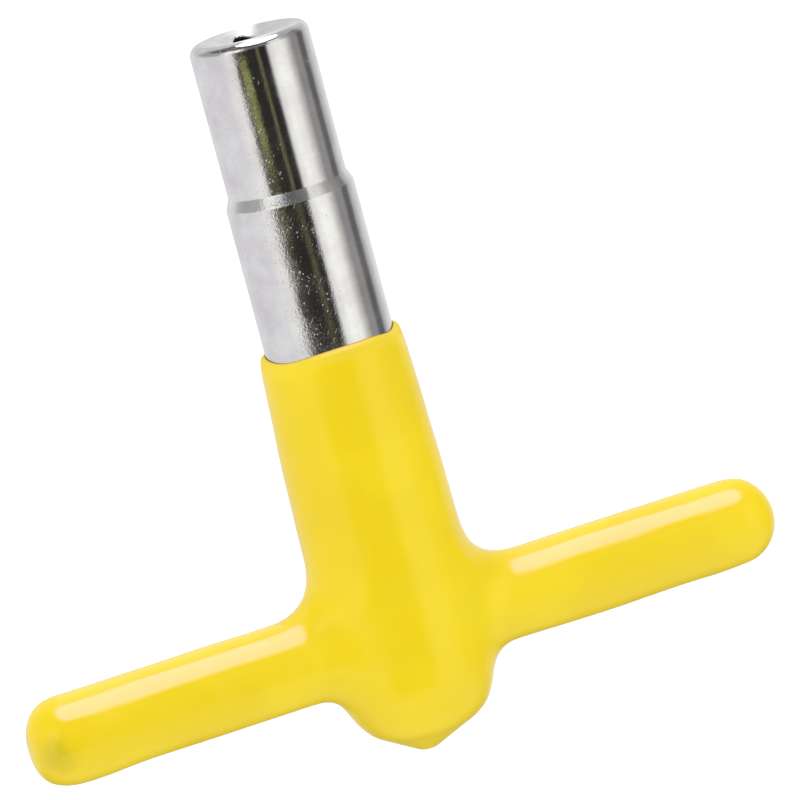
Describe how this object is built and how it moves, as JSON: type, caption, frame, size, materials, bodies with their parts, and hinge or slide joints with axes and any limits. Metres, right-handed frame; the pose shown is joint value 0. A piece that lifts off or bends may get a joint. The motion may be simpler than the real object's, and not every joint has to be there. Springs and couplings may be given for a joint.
{
  "type": "fire hydrant wrench",
  "caption": "T-handled key with a triangular socket in the nose of a stepped, plated steel shank and a yellow dip-coated cross bar, for turning a hydrant valve's spindle.",
  "frame": {"origin": "centre of the triangular socket's mouth, in the plane of the shank's end face", "axes": "+Z out of the socket along the shank's axis, away from the handle; X along the cross bar; Y across both"},
  "size_m": [0.1112, 0.0226, 0.1032],
  "materials": {
    "plated_steel": "nickel-chrome plated turned steel, bright with fine handling marks",
    "bar_steel": "plain drawn rod, hidden by the coat",
    "weld_metal": "as welded, hidden by the coat",
    "dipped_pvc": "glossy yellow dip-moulded PVC, slightly uneven"
  },
  "bodies": {
    "root": {"socket_shank": "plated_steel", "cross_bar": "bar_steel", "weld_beads": "weld_metal", "grip_coat": "dipped_pvc"}
  },
  "joints": []
}
